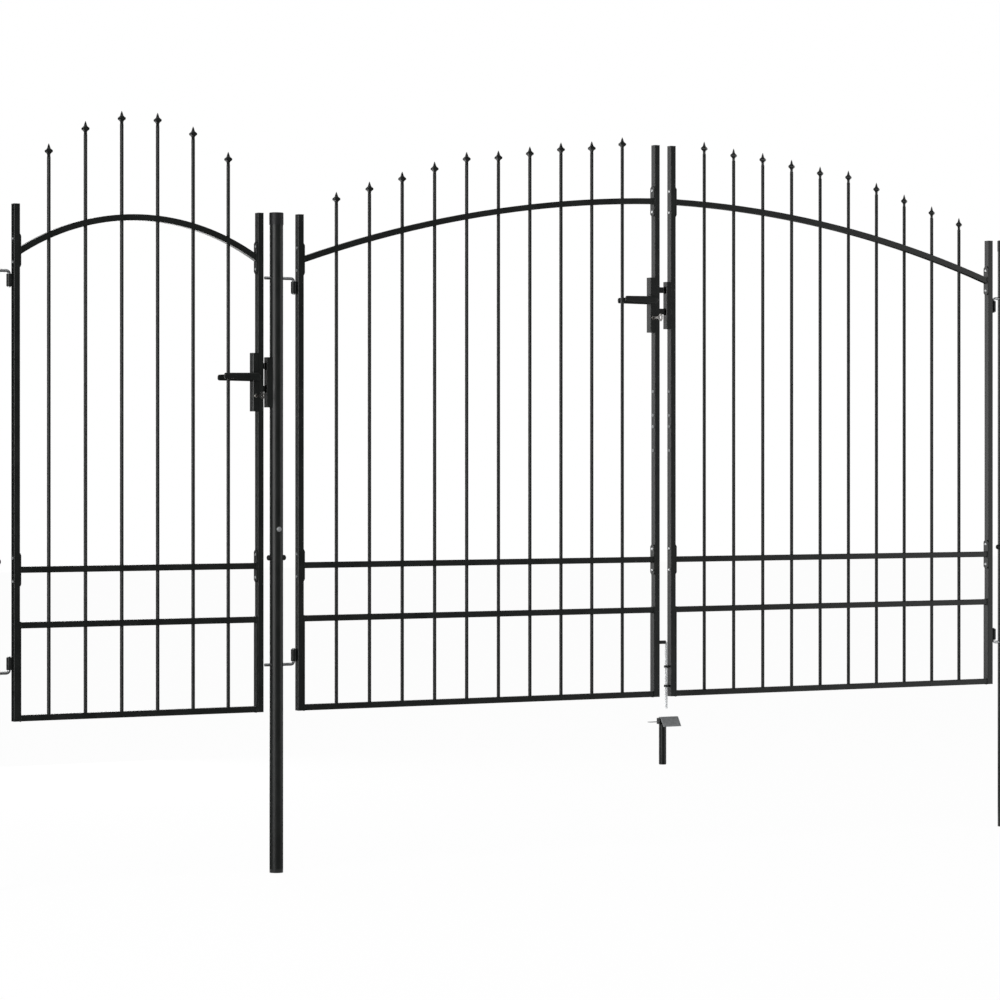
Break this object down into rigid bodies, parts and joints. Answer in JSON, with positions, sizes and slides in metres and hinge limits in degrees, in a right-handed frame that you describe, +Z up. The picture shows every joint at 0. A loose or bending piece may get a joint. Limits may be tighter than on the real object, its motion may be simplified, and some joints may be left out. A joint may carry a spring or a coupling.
{
  "type": "driveway gate with a pedestrian leaf",
  "caption": "Black steel driveway gate: a pedestrian leaf and a pair of arched leaves with spear-topped pickets, hung on round posts, with locks and a drop bolt.",
  "frame": {"origin": "centre of the foot of the middle post", "axes": "+X along the gate to the right as seen from the front, +Y away from the viewer, +Z up"},
  "size_m": [4.078, 0.139, 2.48],
  "materials": {
    "black_powder_coat": "satin powder coat over steel",
    "zinc_plated_steel": "dull zinc plate",
    "nickel_plated_brass": "satin nickel plate",
    "black_plastic": "fine matt moulding"
  },
  "bodies": {
    "posts": {"left_hinge_pins": "zinc_plated_steel", "left_post_lower": "black_powder_coat", "left_post_upper": "black_powder_coat", "middle_hinge_pins": "zinc_plated_steel", "middle_post_lower": "black_powder_coat", "middle_post_upper": "black_powder_coat", "right_hinge_pins": "zinc_plated_steel", "right_post_lower": "black_powder_coat", "right_post_upper": "black_powder_coat", "post_sleeves": "black_powder_coat", "post_caps": "black_plastic", "ped_keep": "black_powder_coat", "ground_stop": "black_powder_coat"},
    "ped_leaf": {"ped_hinge_stile": "black_powder_coat", "ped_hinge_eyes": "black_powder_coat", "ped_arch_rail": "black_powder_coat", "ped_middle_rail": "black_powder_coat", "ped_lower_frame": "black_powder_coat", "ped_pickets": "black_powder_coat", "ped_lock_case": "black_powder_coat", "ped_lock_bolts": "black_powder_coat", "ped_lock_cylinder": "nickel_plated_brass", "ped_latch_stile": "black_powder_coat"},
    "left_leaf": {"left_hinge_stile": "black_powder_coat", "left_hinge_eyes": "black_powder_coat", "left_arch_rail": "black_powder_coat", "left_middle_rail": "black_powder_coat", "left_lower_frame": "black_powder_coat", "left_pickets": "black_powder_coat", "main_lock_case": "black_powder_coat", "main_lock_bolts": "black_powder_coat", "main_lock_cylinder": "nickel_plated_brass", "left_meeting_stile": "black_powder_coat"},
    "right_leaf": {"right_hinge_stile": "black_powder_coat", "right_hinge_eyes": "black_powder_coat", "right_arch_rail": "black_powder_coat", "right_middle_rail": "black_powder_coat", "right_lower_frame": "black_powder_coat", "right_pickets": "black_powder_coat", "right_meeting_stile": "black_powder_coat", "main_keep": "black_powder_coat", "drop_bolt_guides": "black_powder_coat"},
    "ped_lever": {"ped_lever": "black_powder_coat"},
    "main_lever": {"main_lever": "black_powder_coat"},
    "drop_bolt": {"drop_bolt": "zinc_plated_steel"}
  },
  "joints": [
    {"name": "ped_leaf_hinge", "type": "hinge", "parent": "posts", "child": "ped_leaf", "pos_m": [-0.937, 0, 0.7135], "axis": [0, 0, 1], "range_deg": [0, 100]},
    {"name": "left_leaf_hinge", "type": "hinge", "parent": "posts", "child": "left_leaf", "pos_m": [0.063, 0, 0.7135], "axis": [0, 0, 1], "range_deg": [0, 100]},
    {"name": "right_leaf_hinge", "type": "hinge", "parent": "posts", "child": "right_leaf", "pos_m": [2.945, 0, 0.7135], "axis": [0, 0, -1], "range_deg": [0, 100]},
    {"name": "ped_lever_turn", "type": "hinge", "parent": "ped_leaf", "child": "ped_lever", "pos_m": [-0.0815, 0, 1.63], "axis": [0, -1, 0], "range_deg": [0, 40], "stiffness_Nm_per_rad": 1, "springref_deg": -28.65},
    {"name": "main_lever_turn", "type": "hinge", "parent": "left_leaf", "child": "main_lever", "pos_m": [1.4515, 0, 1.916], "axis": [0, -1, 0], "range_deg": [0, 40], "stiffness_Nm_per_rad": 1, "springref_deg": -28.65},
    {"name": "drop_bolt_slide", "type": "slide", "parent": "right_leaf", "child": "drop_bolt", "axis": [0, 0, 1], "range_m": [-0.07, 0.06]}
  ]
}
